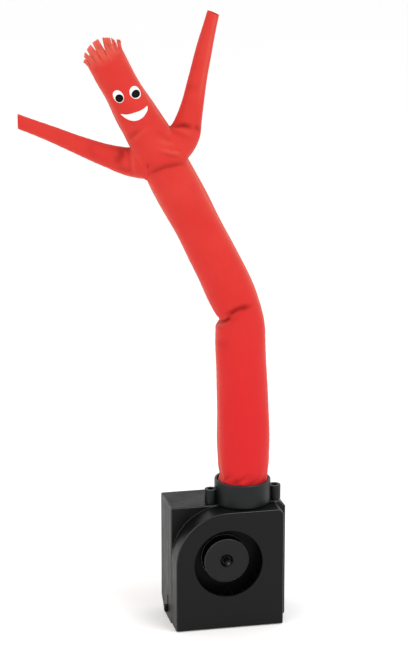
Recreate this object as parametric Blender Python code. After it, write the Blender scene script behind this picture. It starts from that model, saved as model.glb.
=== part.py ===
"""Desk-top inflatable air dancer: a cloth tube figure standing on a small fan housing.

Units are metres (sizes below are written in millimetres times MM), +Z up.
The origin is on the floor, straight below the axis of the outlet collar.
The housing's front, with the air inlet, faces -Y; +X is to the right seen from there.
The cloth figure is drawn in its own upright plane (u to the right, z up) and then
turned about the collar's axis, because it is pushed on by hand and faces a little left.
"""
import math
from collections import namedtuple

import bmesh
import bpy
import numpy as np
from mathutils import Vector

MM = 0.001
GAP = 0.3 * MM                  # between pieces that touch on the real thing
WALL = 2.0 * MM                 # moulded plastic wall
CLOTH = 1.0 * MM                # cloth, with its seam allowances pressed flat

# --- housing: its rear part is a box, its front part is the fan's raised chamber -----
LEFT = -56.0 * MM
RIGHT = 31.8 * MM
TOP = 91.5 * MM
FRONT_Y = -25.0 * MM            # front face of the raised chamber
STEP_Y = -6.5 * MM              # where the chamber stands on the wider box
FRONT_SEAM_Y = 2.5 * MM
BACK_SEAM_Y = 25.0 * MM
BACK_Y = 31.0 * MM
BOX_CHAMFER = 4.5 * MM          # upper right corner
BOX_RADIUS = 2.0 * MM           # lower right corner
EDGE = 0.7 * MM                 # rounding of the mouldings' edges
SEAM_EDGE = 0.4 * MM            # chamfer that makes each seam a groove
HEEL = 11.0 * MM                # bevel along the lower back edge

CHAMBER_INSET = 0.4 * MM        # chamber's left and top sides stand in from the box
CHAMBER_RIGHT = 26.0 * MM
CHAMBER_CHAMFER = 3.2 * MM
FAN_X = -16.0 * MM
FAN_Z = 51.5 * MM
SCROLL_RADIUS = 40.0 * MM - CHAMBER_INSET    # round corner, turned about the fan's axis
INLET_RADIUS = 25.8 * MM

# --- outlet collar -----------------------------------------------------------------
COLLAR_RADIUS = 21.0 * MM
COLLAR_TOP = 109.5 * MM
OUTLET_RADIUS = 17.6 * MM       # hole in the housing's top below the collar
POST_X = 24.3 * MM
POST_Y = -1.0 * MM
POST_RADIUS = 4.7 * MM
POST_BORE = 2.5 * MM
POST_BORE_DEPTH = 9.0 * MM
POST_TOP = 102.9 * MM

# --- fan ---------------------------------------------------------------------------
HUB_RADIUS = 17.1 * MM
HUB_Y = FRONT_Y + 6.3 * MM      # hub's face, seen through the inlet
DIMPLE_RADIUS = 4.8 * MM
DIMPLE_DEPTH = 1.8 * MM
BOSS_RADIUS = 2.5 * MM
SHAFT_RADIUS = 1.0 * MM
SHAFT_TIP_Y = FRONT_Y + 0.6 * MM
DISC_RADIUS = 34.6 * MM
DISC_Y = -9.0 * MM              # disc's front face, which carries the blades
DISC_THICKNESS = 1.5 * MM
BLADE_INNER = 27.6 * MM
BLADE_OUTER = 34.0 * MM
BLADE_TIP_Y = -20.0 * MM
BLADE_COUNT = 22
BLADE_SHARE = 0.22              # part of each pitch that is blade
BLADE_LEAN = math.radians(9)    # outer end trails the inner end
MOTOR_RADIUS = 10.0 * MM
MOTOR_FRONT_Y = -4.0 * MM
MOTOR_BACK_Y = 22.0 * MM
SHAFT_BACK_Y = 16.0 * MM
SOCKET_FRONT_Y = 12.0 * MM      # ring on the back cover that holds the motor

# --- slide switch on the left side --------------------------------------------------
SWITCH_Y = 6.0 * MM
SWITCH_SLOT_LOW = 5.0 * MM
SWITCH_SLOT_HIGH = 18.6 * MM
SWITCH_SLOT_WIDTH = 4.0 * MM
KNOB_HEIGHT = 5.0 * MM
KNOB_PROUD = 2.8 * MM
KNOB_FLANGE = 2.0 * MM          # how far the plate behind the wall laps the slot

# --- cloth figure, in its own plane (u to the right, z up) ---------------------------
FIGURE_TURN = math.radians(-12)

Station = namedtuple("Station", "u z radius")

BODY_STATIONS = (               # centre line and radius, in mm, from the collar to the crown
    Station(0.0, 93.4, 18.6),   # lower edge, inside the collar
    Station(0.0, 104.0, 18.4),
    Station(0.4, 110.5, 17.6),  # rim of the collar
    Station(0.8, 119.0, 18.4),
    Station(0.9, 132.0, 18.9),
    Station(0.4, 155.0, 18.8),
    Station(-0.3, 174.0, 18.6),
    Station(-1.2, 194.0, 18.4),
    Station(-2.0, 214.0, 18.3),
    Station(-2.9, 227.0, 18.1),
    Station(-6.0, 243.0, 17.3),
    Station(-13.0, 260.0, 16.7),
    Station(-29.9, 295.0, 16.7),
    Station(-51.0, 335.0, 16.5),
    Station(-64.5, 361.0, 16.2),
    Station(-77.8, 385.0, 14.7),
    Station(-86.0, 398.6, 13.2),
    Station(-93.1, 411.5, 13.0),
    Station(-98.1, 421.0, 13.2),  # crown, where the hair band is parted from it
)
LEFT_ARM_STATIONS = (           # from inside the trunk to the open cuff
    Station(-60.0, 348.6, 11.6),
    Station(-70.5, 347.8, 11.3),
    Station(-82.0, 348.6, 9.9),
    Station(-96.9, 352.1, 8.0),
    Station(-116.3, 359.8, 6.4),
    Station(-136.8, 368.3, 5.6),
    Station(-161.1, 377.5, 4.8),
)
RIGHT_ARM_STATIONS = (
    Station(-60.5, 352.5, 12.4),
    Station(-54.0, 356.0, 12.5),
    Station(-47.4, 361.7, 12.2),
    Station(-42.3, 370.1, 11.0),
    Station(-39.8, 378.5, 9.4),
    Station(-37.3, 387.5, 8.0),
    Station(-33.2, 407.0, 6.5),
    Station(-27.9, 431.0, 5.5),
    Station(-21.8, 453.6, 5.0),
)

Crease = namedtuple("Crease", "along side reach rise below above depth")

# A trough across the cloth: distance along the tube, direction of its deepest point
# (degrees round the tube: 0 right, 90 back, 180 left, 270 front), how far round it
# reaches, how far it climbs along the tube by then, its half width on the lower and
# the upper side, and its depth, all in mm or degrees.
BODY_CREASES = (
    Crease(137.0, 195, 120, 16.0, 1.5, 8.5, 4.2),   # buckle on the inside of the bend
    Crease(142.5, 215, 70, 6.0, 2.0, 2.4, 1.2),
    Crease(263.0, 262, 120, 0.0, 5.0, 5.0, 1.0),    # waist, under the arms
    Crease(297.0, 268, 100, 4.0, 3.5, 4.5, 0.9),    # neck
)
BODY_STEP = 13.0                # mm between rings on a plain stretch
CREASE_STEP = 2.2               # mm between rings in the bend
BEND_FROM = 126.0
BEND_TO = 163.0
BODY_SIDES = 28
ARM_SIDES = 20
ARM_STEP = 8.0

# --- hair: strips cut into a band at the crown ---------------------------------------
STRIP_COUNT = 16
STRIP_SHARE = 0.88              # part of each pitch that is strip
BAND_HEIGHT = 2.6
STRIP_LENGTH = 8.2              # mean; longest at the back left of the head
STRIP_LENGTH_SWING = 2.8
STRIP_LONGEST = math.radians(125)
STRIP_UNEVEN = (0.7, -0.5, 0.2, -0.9, 0.9, -0.2)
STRIP_LEAN = math.radians(12)   # all strips stand more upright than the head
STRIP_FLARES = (3, 9, 5, -1, 7, 11, 1)          # degrees outwards
STRIP_SWAYS = (-3, 4, 0, -5, 3)                 # degrees sideways
STRIP_STEPS = 3

PLASTIC = ("black_plastic", (0.022, 0.023, 0.023), 0.32, 0.0)
FAN_PLASTIC = ("fan_plastic", (0.020, 0.020, 0.021), 0.42, 0.0)
MOTOR_METAL = ("motor_metal", (0.55, 0.55, 0.56), 0.35, 1.0)
SHAFT_METAL = ("shaft_metal", (0.30, 0.30, 0.31), 0.30, 1.0)
RED_CLOTH = ("red_cloth", (0.80, 0.045, 0.042), 0.62, 0.0)


# --- helpers -------------------------------------------------------------------------
def clear_scene():
    for item in list(bpy.data.objects):
        bpy.data.objects.remove(item, do_unlink=True)


def material(finish, name):
    """One Principled material for one sub-part."""
    slot, colour, roughness, metallic = finish
    made = bpy.data.materials.new(f"{name}_{slot}")
    made.use_nodes = True
    shader = made.node_tree.nodes["Principled BSDF"]
    shader.inputs["Base Color"].default_value = (*colour, 1.0)
    shader.inputs["Roughness"].default_value = roughness
    shader.inputs["Metallic"].default_value = metallic
    made.diffuse_color = (*colour, 1.0)
    return made


def add_object(name, vertices, faces, finish=None, location=(0, 0, 0)):
    """Object from a closed mesh, with its faces turned outwards."""
    mesh = bpy.data.meshes.new(name)
    mesh.from_pydata([tuple(v) for v in vertices], [], faces)
    work = bmesh.new()
    work.from_mesh(mesh)
    bmesh.ops.recalc_face_normals(work, faces=work.faces)
    work.to_mesh(mesh)
    work.free()
    mesh.shade_smooth()
    mesh.set_sharp_from_angle(angle=math.radians(35))
    made = bpy.data.objects.new(name, mesh)
    made.location = location
    bpy.context.scene.collection.objects.link(made)
    if finish:
        mesh.materials.append(material(finish, name))
    return made


def cutter(made):
    """Marks an object as a tool that only shapes others."""
    made.hide_render = True
    made.display_type = "WIRE"
    return made


def boolean(target, tool, operation="DIFFERENCE"):
    step = target.modifiers.new(f"{operation.lower()}_{tool.name}", "BOOLEAN")
    step.operation = operation
    step.solver = "EXACT"
    step.object = tool


def stack_loops(loops):
    """Vertices and faces of a solid whose skin joins like loops, capped at both ends."""
    count = len(loops[0])
    vertices = [point for loop in loops for point in loop]
    faces = []
    for row in range(len(loops) - 1):
        for side in range(count):
            after = (side + 1) % count
            low, high = row * count, (row + 1) * count
            faces.append((low + side, low + after, high + after, high + side))
    faces.append(tuple(range(count - 1, -1, -1)))
    last = (len(loops) - 1) * count
    faces.append(tuple(range(last, last + count)))
    return vertices, faces


def ring_of_loops(loops):
    """Vertices and faces of a ring-like skin: the last loop joins the first one."""
    count = len(loops[0])
    vertices = [point for loop in loops for point in loop]
    faces = []
    for row in range(len(loops)):
        after_row = (row + 1) % len(loops)
        for side in range(count):
            after = (side + 1) % count
            faces.append((row * count + side, row * count + after,
                          after_row * count + after, after_row * count + side))
    return vertices, faces


def corner(centre, start_deg, radius, inset, steps):
    """Quarter turn about a fixed centre, a chamfer when steps is 1."""
    reach = max(radius - inset, 0.05 * MM)
    angles = [math.radians(start_deg + 90.0 * k / steps) for k in range(steps + 1)]
    return [(centre[0] + reach * math.cos(a), centre[1] + reach * math.sin(a)) for a in angles]


def rear_outline(inset):
    """Front view of the rear box, drawn in by inset, anticlockwise from the lower right."""
    small = EDGE
    left, right, low, high = LEFT + inset, RIGHT - inset, inset, TOP - inset
    cut = BOX_CHAMFER - 0.586 * inset
    points = corner((RIGHT - BOX_RADIUS, BOX_RADIUS), 270, BOX_RADIUS, inset, 4)
    points += [(right, high - cut), (right - cut, high)]
    points += corner((LEFT + small, TOP - small), 90, small, 0, 1) if inset == 0 else [
        (left + 0.3 * small, high), (left, high - 0.3 * small)]
    points += [(left, low + 0.3 * small), (left + 0.3 * small, low)]
    return points


def chamber_outline(inset):
    """Front view of the raised fan chamber, with its round corner about the fan's axis."""
    left = LEFT + CHAMBER_INSET + inset
    right = CHAMBER_RIGHT - inset
    low = CHAMBER_INSET + inset
    high = TOP - CHAMBER_INSET - inset
    cut = CHAMBER_CHAMFER - 0.586 * inset
    nick = 0.8 * EDGE
    points = [(left + nick, low), (right - nick, low), (right, low + nick)]
    points += [(right, high - cut), (right - cut, high)]
    points += corner((FAN_X, FAN_Z), 90, SCROLL_RADIUS, inset, 14)
    points += [(left, low + nick)]
    return points


def prism(name, outline, levels, finish=None):
    """Solid drawn from front to back: levels are pairs of y and how far it is drawn in."""
    loops = [[(x, y, z) for x, z in outline(inset)] for y, inset in levels]
    vertices, faces = stack_loops(loops)
    return add_object(name, vertices, faces, finish)


def block(name, low, high, finish=None):
    """Plain box between two corners."""
    corners = [(x, y, z) for z in (low[2], high[2])
               for x, y in ((low[0], low[1]), (high[0], low[1]),
                            (high[0], high[1]), (low[0], high[1]))]
    vertices, faces = stack_loops([corners[:4], corners[4:]])
    return add_object(name, vertices, faces, finish)


def lathe(name, profile, centre, axis, sides, finish=None):
    """Closed (radius, height) profile turned about the Y or Z axis through centre."""
    loops = []
    for k in range(sides):
        angle = 2 * math.pi * k / sides
        c, s = math.cos(angle), math.sin(angle)
        if axis == "Z":
            loops.append([(centre[0] + r * c, centre[1] + r * s, h) for r, h in profile])
        else:
            loops.append([(centre[0] + r * c, h, centre[1] + r * s) for r, h in profile])
    vertices, faces = ring_of_loops(loops)
    return add_object(name, vertices, faces, finish)


def rod(name, radius, start, end, centre, axis, sides, finish=None):
    """Plain capped cylinder along the Y or Z axis through centre."""
    loops = []
    for h in (start, end):
        loop = []
        for k in range(sides):
            angle = 2 * math.pi * k / sides
            a = centre[0] + radius * math.cos(angle)
            b = centre[1] + radius * math.sin(angle)
            loop.append((a, b, h) if axis == "Z" else (a, h, b))
        loops.append(loop)
    vertices, faces = stack_loops(loops)
    return add_object(name, vertices, faces, finish)


def heel_wedge(name, inset):
    """Tool that bevels the lower back edge, or the hollow behind it by a further inset."""
    reach = 40.0 * MM
    shift = inset * math.sqrt(2)
    y0 = BACK_Y - HEEL - shift
    profile = [(y0 - reach, -reach), (BACK_Y + reach, -reach),
               (BACK_Y + reach, HEEL + shift + reach)]
    loops = [[(x, y, z) for y, z in profile] for x in (LEFT - reach, RIGHT + reach)]
    vertices, faces = stack_loops(loops)
    return cutter(add_object(name, vertices, faces))


def outlet_cutter(name):
    return cutter(rod(name, OUTLET_RADIUS, TOP - 8 * MM, TOP + 8 * MM, (0, 0), "Z", 40))


# --- housing -------------------------------------------------------------------------
def make_front_cover():
    """One moulding: the rim of the box, the panel beside the scroll and the chamber."""
    end = FRONT_SEAM_Y - GAP / 2
    cover = prism("front_cover", rear_outline,
                  ((STEP_Y, EDGE), (STEP_Y + EDGE, 0), (end - SEAM_EDGE, 0), (end, SEAM_EDGE)),
                  PLASTIC)
    chamber = cutter(prism("chamber_outer", chamber_outline,
                           ((FRONT_Y, 1.5 * EDGE), (FRONT_Y + 0.45 * EDGE, 0.45 * EDGE),
                            (FRONT_Y + 1.5 * EDGE, 0), (STEP_Y + WALL / 2, 0))))
    rim_hollow = cutter(prism("rim_hollow", rear_outline,
                              ((STEP_Y + WALL, WALL), (end + WALL, WALL))))
    chamber_hollow = cutter(prism("chamber_hollow", chamber_outline,
                                  ((FRONT_Y + WALL, WALL), (end, WALL))))
    inlet = cutter(rod("inlet_cut", INLET_RADIUS, FRONT_Y - WALL, FRONT_Y + 2 * WALL,
                       (FAN_X, FAN_Z), "Y", 64))
    boolean(cover, chamber, "UNION")
    boolean(cover, rim_hollow)
    boolean(cover, chamber_hollow)
    boolean(cover, inlet)
    boolean(cover, outlet_cutter("outlet_cut_front"))
    return cover


def make_body_shell():
    """Middle band of the box, with the slot of the slide switch in its left side."""
    start = FRONT_SEAM_Y + GAP / 2
    end = BACK_SEAM_Y - GAP / 2
    shell = prism("body_shell", rear_outline,
                  ((start, SEAM_EDGE), (start + SEAM_EDGE, 0), (end - SEAM_EDGE, 0),
                   (end, SEAM_EDGE)), PLASTIC)
    hollow = cutter(prism("body_hollow", rear_outline,
                          ((start - WALL, WALL), (end + WALL, WALL))))
    boolean(hollow, heel_wedge("heel_inner", WALL))
    boolean(shell, heel_wedge("heel_outer", 0))
    boolean(shell, hollow)
    slot = cutter(block("switch_slot",
                        (LEFT - WALL, SWITCH_Y - SWITCH_SLOT_WIDTH / 2, SWITCH_SLOT_LOW),
                        (LEFT + 2 * WALL, SWITCH_Y + SWITCH_SLOT_WIDTH / 2, SWITCH_SLOT_HIGH)))
    boolean(shell, slot)
    boolean(shell, outlet_cutter("outlet_cut_body"))
    return shell


def make_back_cover():
    """Plain back plate with its lip, and inside it the ring that holds the motor."""
    start = BACK_SEAM_Y + GAP / 2
    cover = prism("back_cover", rear_outline,
                  ((start, SEAM_EDGE), (start + SEAM_EDGE, 0), (BACK_Y - EDGE, 0),
                   (BACK_Y, EDGE)), PLASTIC)
    hollow = cutter(prism("back_hollow", rear_outline,
                          ((start - WALL, WALL), (BACK_Y - WALL, WALL))))
    boolean(hollow, heel_wedge("heel_back_inner", WALL))
    boolean(cover, heel_wedge("heel_back_outer", 0))
    boolean(cover, hollow)
    inner = MOTOR_RADIUS + GAP
    profile = ((inner, SOCKET_FRONT_Y), (inner + WALL, SOCKET_FRONT_Y),
               (inner + WALL, BACK_Y - WALL / 2), (inner, BACK_Y - WALL / 2))
    socket = cutter(lathe("motor_socket", profile, (FAN_X, FAN_Z), "Y", 32))
    boolean(cover, socket, "UNION")
    return cover


def make_collar():
    """Outlet ring with a screw post on each side, one moulding."""
    low = TOP + GAP
    inner = COLLAR_RADIUS - WALL
    lip = 0.5 * MM
    ledge = 1.2 * MM
    profile = ((COLLAR_RADIUS, low), (COLLAR_RADIUS, COLLAR_TOP - lip),
               (COLLAR_RADIUS - lip, COLLAR_TOP), (inner + lip, COLLAR_TOP),
               (inner, COLLAR_TOP - lip), (inner, low + ledge),
               (OUTLET_RADIUS, low + ledge), (OUTLET_RADIUS, low))
    collar = lathe("outlet_collar", profile, (0, 0), "Z", 56, PLASTIC)
    for side, label in ((-1, "left"), (1, "right")):
        centre = (side * POST_X, POST_Y)
        post = cutter(rod(f"post_{label}", POST_RADIUS, low + 0.1 * MM, POST_TOP, centre, "Z", 24))
        clear = cutter(rod(f"post_clear_{label}", inner + 0.2 * MM, low + ledge, COLLAR_TOP + lip,
                           (0, 0), "Z", 56))
        bore = cutter(rod(f"post_bore_{label}", POST_BORE, POST_TOP - POST_BORE_DEPTH,
                          POST_TOP + MM, centre, "Z", 16))
        boolean(post, clear)
        boolean(collar, post, "UNION")
        boolean(collar, bore)
    return collar


# --- fan and motor -------------------------------------------------------------------
def make_impeller():
    """Hub and disc in one turned profile, whose disc face is drawn out into blades."""
    bore = SHAFT_RADIUS + GAP
    edge = 1.0 * MM
    skin = 1.5 * MM
    disc_back = DISC_Y + DISC_THICKNESS
    cup = HUB_RADIUS - skin
    cup_y = HUB_Y + skin + 0.4 * MM
    profile = ((bore, SHAFT_TIP_Y + 0.4 * MM), (BOSS_RADIUS - 0.3 * MM, SHAFT_TIP_Y + 0.1 * MM),
               (BOSS_RADIUS, SHAFT_TIP_Y + 0.5 * MM), (BOSS_RADIUS, HUB_Y + DIMPLE_DEPTH),
               (DIMPLE_RADIUS - 1.4 * MM, HUB_Y + DIMPLE_DEPTH), (DIMPLE_RADIUS, HUB_Y),
               (HUB_RADIUS - edge, HUB_Y), (HUB_RADIUS - 0.3 * edge, HUB_Y + 0.3 * edge),
               (HUB_RADIUS, HUB_Y + edge), (HUB_RADIUS, DISC_Y),
               (BLADE_INNER, DISC_Y), (BLADE_OUTER, DISC_Y), (DISC_RADIUS, DISC_Y),
               (DISC_RADIUS, disc_back), (cup, disc_back), (cup, cup_y),
               (DIMPLE_RADIUS + skin, cup_y + 0.4 * MM), (bore + skin, cup_y + DIMPLE_DEPTH),
               (bore + skin, disc_back), (bore, disc_back))
    blade_row = profile.index((BLADE_INNER, DISC_Y))
    pitch = 2 * math.pi / BLADE_COUNT
    loops = []
    for k in range(BLADE_COUNT):
        for share in (0.0, BLADE_SHARE):
            angle = (k + share) * pitch
            loop = []
            for radius, y in profile:
                lean = BLADE_LEAN if radius >= BLADE_OUTER else 0.0
                loop.append((radius * math.cos(angle - lean), y, radius * math.sin(angle - lean)))
            loops.append(loop)
    vertices, faces = ring_of_loops(loops)
    fan = add_object("impeller", vertices, faces, FAN_PLASTIC, (FAN_X, 0, FAN_Z))
    rows = len(profile)
    roots = [(2 * k) * rows + blade_row for k in range(BLADE_COUNT)]
    work = bmesh.new()
    work.from_mesh(fan.data)
    work.verts.ensure_lookup_table()
    blade_faces = []
    for root in roots:
        wanted = {root, root + 1, root + rows, root + rows + 1}
        blade_faces += [f for f in work.verts[root].link_faces if {v.index for v in f.verts} == wanted]
    drawn = bmesh.ops.extrude_discrete_faces(work, faces=blade_faces)
    for face in drawn["faces"]:
        bmesh.ops.translate(work, verts=face.verts, vec=Vector((0, BLADE_TIP_Y - DISC_Y, 0)))
    bmesh.ops.recalc_face_normals(work, faces=work.faces)
    work.to_mesh(fan.data)
    work.free()
    return fan


def make_shaft():
    return rod("motor_shaft", SHAFT_RADIUS, SHAFT_TIP_Y, SHAFT_BACK_Y, (FAN_X, FAN_Z), "Y", 16,
               SHAFT_METAL)


def make_motor():
    """Round motor can, bored for its shaft."""
    bore = SHAFT_RADIUS + GAP
    profile = ((bore, MOTOR_FRONT_Y), (MOTOR_RADIUS, MOTOR_FRONT_Y),
               (MOTOR_RADIUS, MOTOR_BACK_Y), (bore, MOTOR_BACK_Y))
    return lathe("motor", profile, (FAN_X, FAN_Z), "Y", 32, MOTOR_METAL)


def make_switch():
    """Slide switch: a knob through the slot and the plate that keeps it behind the wall."""
    low = SWITCH_SLOT_LOW + GAP
    high = low + KNOB_HEIGHT
    half = SWITCH_SLOT_WIDTH / 2 - GAP
    inner = LEFT + WALL + GAP
    outer_half = half - 0.4 * MM
    nick = 0.5 * MM

    def section(x, side, drawn_in):
        return [(x, SWITCH_Y - side, low + drawn_in), (x, SWITCH_Y + side, low + drawn_in),
                (x, SWITCH_Y + side, high - drawn_in), (x, SWITCH_Y - side, high - drawn_in)]

    loops = [section(LEFT - KNOB_PROUD, outer_half, nick),
             section(LEFT - KNOB_PROUD + nick, half, 0),
             section(inner, half, 0),
             section(inner, half + KNOB_FLANGE - 0.5 * MM, -KNOB_FLANGE),
             section(inner + WALL, half + KNOB_FLANGE - 0.5 * MM, -KNOB_FLANGE)]
    vertices, faces = stack_loops(loops)
    return add_object("switch_knob", vertices, faces, FAN_PLASTIC)


# --- cloth ---------------------------------------------------------------------------
def curve_values(stations, where):
    """Cubic through the stations at distances along their chords: u, z and radius."""
    rows = np.array(stations, dtype=float)
    steps = np.linalg.norm(np.diff(rows[:, :2], axis=0), axis=1)
    knots = np.concatenate(([0.0], np.cumsum(steps)))
    slopes = np.gradient(rows, knots, axis=0)
    where = np.asarray(where, dtype=float)
    index = np.clip(np.searchsorted(knots, where, side="right") - 1, 0, len(knots) - 2)
    width = (knots[index + 1] - knots[index])[:, None]
    t = (where - knots[index])[:, None] / width
    return ((1 + 2 * t) * (1 - t) ** 2 * rows[index] + t * (1 - t) ** 2 * width * slopes[index]
            + t * t * (3 - 2 * t) * rows[index + 1] + t * t * (t - 1) * width * slopes[index + 1])


def curve_length(stations):
    rows = np.array(stations, dtype=float)
    return float(np.linalg.norm(np.diff(rows[:, :2], axis=0), axis=1).sum())


def crease_depth(creases, along, angles):
    """Sum of the troughs at each distance along the tube and each angle round it."""
    total = np.zeros((len(along), len(angles)))
    for fold in creases:
        turn = (np.degrees(angles) - fold.side + 180.0) % 360.0 - 180.0
        share = np.clip(1.0 - (turn / fold.reach) ** 2, 0.0, None)
        ahead = along[:, None] - fold.along - fold.rise * (turn / fold.reach) ** 2
        width = np.where(ahead < 0.0, fold.below, fold.above)
        total += fold.depth * share * np.exp(-(ahead / width) ** 2)
    return total


def tube_loops(stations, along, sides, shrink=0.0, creases=()):
    """Rings of points round a planar centre line, in metres."""
    along = np.asarray(along, dtype=float)
    length = curve_length(stations)
    values = curve_values(stations, along)
    ahead = curve_values(stations, np.minimum(along + 0.5, length))
    behind = curve_values(stations, np.maximum(along - 0.5, 0.0))
    run = ahead[:, :2] - behind[:, :2]
    run /= np.linalg.norm(run, axis=1)[:, None]
    angles = 2 * np.pi * np.arange(sides) / sides
    radius = values[:, 2:3] - shrink - crease_depth(creases, along, angles)
    across = radius * np.cos(angles)
    u = values[:, 0:1] + across * run[:, 1:2]
    z = values[:, 1:2] - across * run[:, 0:1]
    y = radius * np.sin(angles)
    return np.stack((u, y, z), axis=-1) * MM


def even_steps(start, end, step):
    return np.linspace(start, end, max(2, int(round((end - start) / step)) + 1))


def hollow_tube(name, stations, along, sides, creases=()):
    """Open sleeve of cloth: outer skin up, inner skin back down."""
    outer = tube_loops(stations, along, sides, 0.0, creases)
    inner = tube_loops(stations, along, sides, CLOTH / MM, creases)
    vertices, faces = ring_of_loops(list(outer) + list(inner)[::-1])
    return add_object(name, vertices, faces, RED_CLOTH)


def solid_tube(name, stations, along, sides, shrink):
    vertices, faces = stack_loops(list(tube_loops(stations, along, sides, shrink)))
    return cutter(add_object(name, vertices, faces))


def make_trunk():
    """The long tube from the collar to the crown, with a hole where each arm leaves it."""
    length = curve_length(BODY_STATIONS)
    waist = BODY_CREASES[2].along
    neck = BODY_CREASES[3].along
    along = np.concatenate((even_steps(0.0, 26.0, 6.5)[:-1],
                            even_steps(26.0, BEND_FROM, BODY_STEP)[:-1],
                            even_steps(BEND_FROM, BEND_TO, CREASE_STEP)[:-1],
                            even_steps(BEND_TO, waist - 8.0, BODY_STEP)[:-1],
                            even_steps(waist - 8.0, neck + 8.0, 5.0)[:-1],
                            even_steps(neck + 8.0, length, BODY_STEP)))
    trunk = hollow_tube("tube_body", BODY_STATIONS, along, BODY_SIDES, BODY_CREASES)
    for label, stations in (("left", LEFT_ARM_STATIONS), ("right", RIGHT_ARM_STATIONS)):
        reach = even_steps(3.0, 32.0, 6.0)
        hole = solid_tube(f"armhole_{label}", stations, reach, ARM_SIDES, CLOTH / MM)
        boolean(trunk, hole)
    return trunk


def make_arm(label, stations):
    """Tapered sleeve, trimmed to meet the trunk's skin, open at its cuff."""
    along = even_steps(0.0, curve_length(stations), ARM_STEP)
    arm = hollow_tube(f"arm_{label}", stations, along, ARM_SIDES)
    waist = BODY_CREASES[2].along
    around = even_steps(waist - 45.0, waist + 75.0, 12.0)
    trim = solid_tube(f"trunk_trim_{label}", BODY_STATIONS, around, BODY_SIDES, -GAP / MM)
    boolean(arm, trim)
    return arm


def make_hair():
    """Band parted from the crown, drawn out into strips that lean outwards unevenly."""
    end = curve_length(BODY_STATIONS)
    base, before = curve_values(BODY_STATIONS, [end, end - 1.0])
    run = (base[:2] - before[:2]) / np.linalg.norm(base[:2] - before[:2])
    axis = np.array((run[0], 0.0, run[1]))
    across = np.array((run[1], 0.0, -run[0]))
    depth = np.array((0.0, 1.0, 0.0))
    start = np.array((base[0], 0.0, base[1])) + axis * GAP / MM
    outer, inner = base[2], base[2] - CLOTH / MM
    pitch = 2 * math.pi / STRIP_COUNT

    def point(radius, angle, height):
        return (start + radius * (math.cos(angle) * across + math.sin(angle) * depth)
                + height * axis) * MM

    sector_angles = [(k + share) * pitch for k in range(STRIP_COUNT)
                     for share in (0.0, STRIP_SHARE)]
    vertices = []
    for angle in sector_angles:
        vertices += [point(outer, angle, 0.0), point(outer, angle, BAND_HEIGHT),
                     point(inner, angle, BAND_HEIGHT), point(inner, angle, 0.0)]
    faces = []
    count = len(sector_angles)
    for k in range(count):
        here, there = 4 * k, 4 * ((k + 1) % count)
        for edge in range(4):
            after = (edge + 1) % 4
            if edge == 1 and k % 2 == 0:
                continue            # a strip grows from here instead
            faces.append((here + edge, there + edge, there + after, here + after))
    for k in range(STRIP_COUNT):
        first, second = 8 * k, 4 * ((2 * k + 1) % count)
        ring = [first + 1, second + 1, second + 2, first + 2]
        middle = (k + STRIP_SHARE / 2) * pitch
        out = math.cos(middle) * across + math.sin(middle) * depth
        side = math.cos(middle) * depth - math.sin(middle) * across
        flare = math.radians(STRIP_FLARES[k % len(STRIP_FLARES)])
        sway = math.radians(STRIP_SWAYS[k % len(STRIP_SWAYS)])
        length = (STRIP_LENGTH + STRIP_LENGTH_SWING * math.cos(middle - STRIP_LONGEST)
                  + STRIP_UNEVEN[k % len(STRIP_UNEVEN)])
        roots = [np.array(vertices[i]) for i in ring]
        for step in range(1, STRIP_STEPS + 1):
            share = step / STRIP_STEPS
            bent = length * share ** 1.4
            shift = (axis * length * share + across * bent * math.tan(STRIP_LEAN)
                     + out * bent * math.tan(flare) + side * bent * math.tan(sway)) * MM
            new = len(vertices)
            vertices += [root + shift for root in roots]
            fresh = [new, new + 1, new + 2, new + 3]
            for edge in range(4):
                after = (edge + 1) % 4
                faces.append((ring[edge], ring[after], fresh[after], fresh[edge]))
            ring = fresh
        faces.append(tuple(ring))
    return add_object("hair_fringe", vertices, faces, RED_CLOTH)


# --- the whole -----------------------------------------------------------------------
def main():
    clear_scene()
    make_front_cover()
    make_body_shell()
    make_back_cover()
    make_collar()
    make_impeller()
    make_shaft()
    make_motor()
    make_switch()
    figure = bpy.data.objects.new("figure_axis", None)
    figure.rotation_euler.z = FIGURE_TURN
    bpy.context.scene.collection.objects.link(figure)
    before = set(bpy.data.objects)
    make_trunk()
    make_arm("left", LEFT_ARM_STATIONS)
    make_arm("right", RIGHT_ARM_STATIONS)
    make_hair()
    for item in set(bpy.data.objects) - before:
        item.parent = figure


main()
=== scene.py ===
"""Desk-top air dancer, dressed: a blown-up nylon figure standing on its small fan housing.

The figure is three sewn sleeves (trunk and two arms) and a fringe of hair, each a surface
worked out round a planar centre line.  The tables of the centre lines follow those of the
solid model, in millimetres.  Everything is placed in the part's own frame: metres, +Z up,
origin on the floor below the collar, the housing's front towards -Y.
"""

import logging
import math
from dataclasses import dataclass, field
from enum import Enum
from typing import NamedTuple

import bmesh
import bpy
import numpy as np
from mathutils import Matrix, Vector


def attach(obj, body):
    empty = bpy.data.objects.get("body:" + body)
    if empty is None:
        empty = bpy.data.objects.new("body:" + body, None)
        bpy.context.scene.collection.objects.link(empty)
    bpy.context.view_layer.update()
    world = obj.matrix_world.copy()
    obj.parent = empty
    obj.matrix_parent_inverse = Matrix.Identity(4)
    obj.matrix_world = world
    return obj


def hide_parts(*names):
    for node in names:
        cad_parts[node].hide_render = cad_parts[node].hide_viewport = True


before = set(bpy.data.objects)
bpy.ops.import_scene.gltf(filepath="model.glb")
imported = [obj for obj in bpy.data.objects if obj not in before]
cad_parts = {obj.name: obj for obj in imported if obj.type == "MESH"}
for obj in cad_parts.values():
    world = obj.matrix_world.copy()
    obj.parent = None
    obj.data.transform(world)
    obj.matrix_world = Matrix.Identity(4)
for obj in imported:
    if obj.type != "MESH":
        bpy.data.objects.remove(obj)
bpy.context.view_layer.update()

LOG = logging.getLogger("air_dancer")
MM = 0.001
FIGURE_TURN = math.radians(-12)
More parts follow.
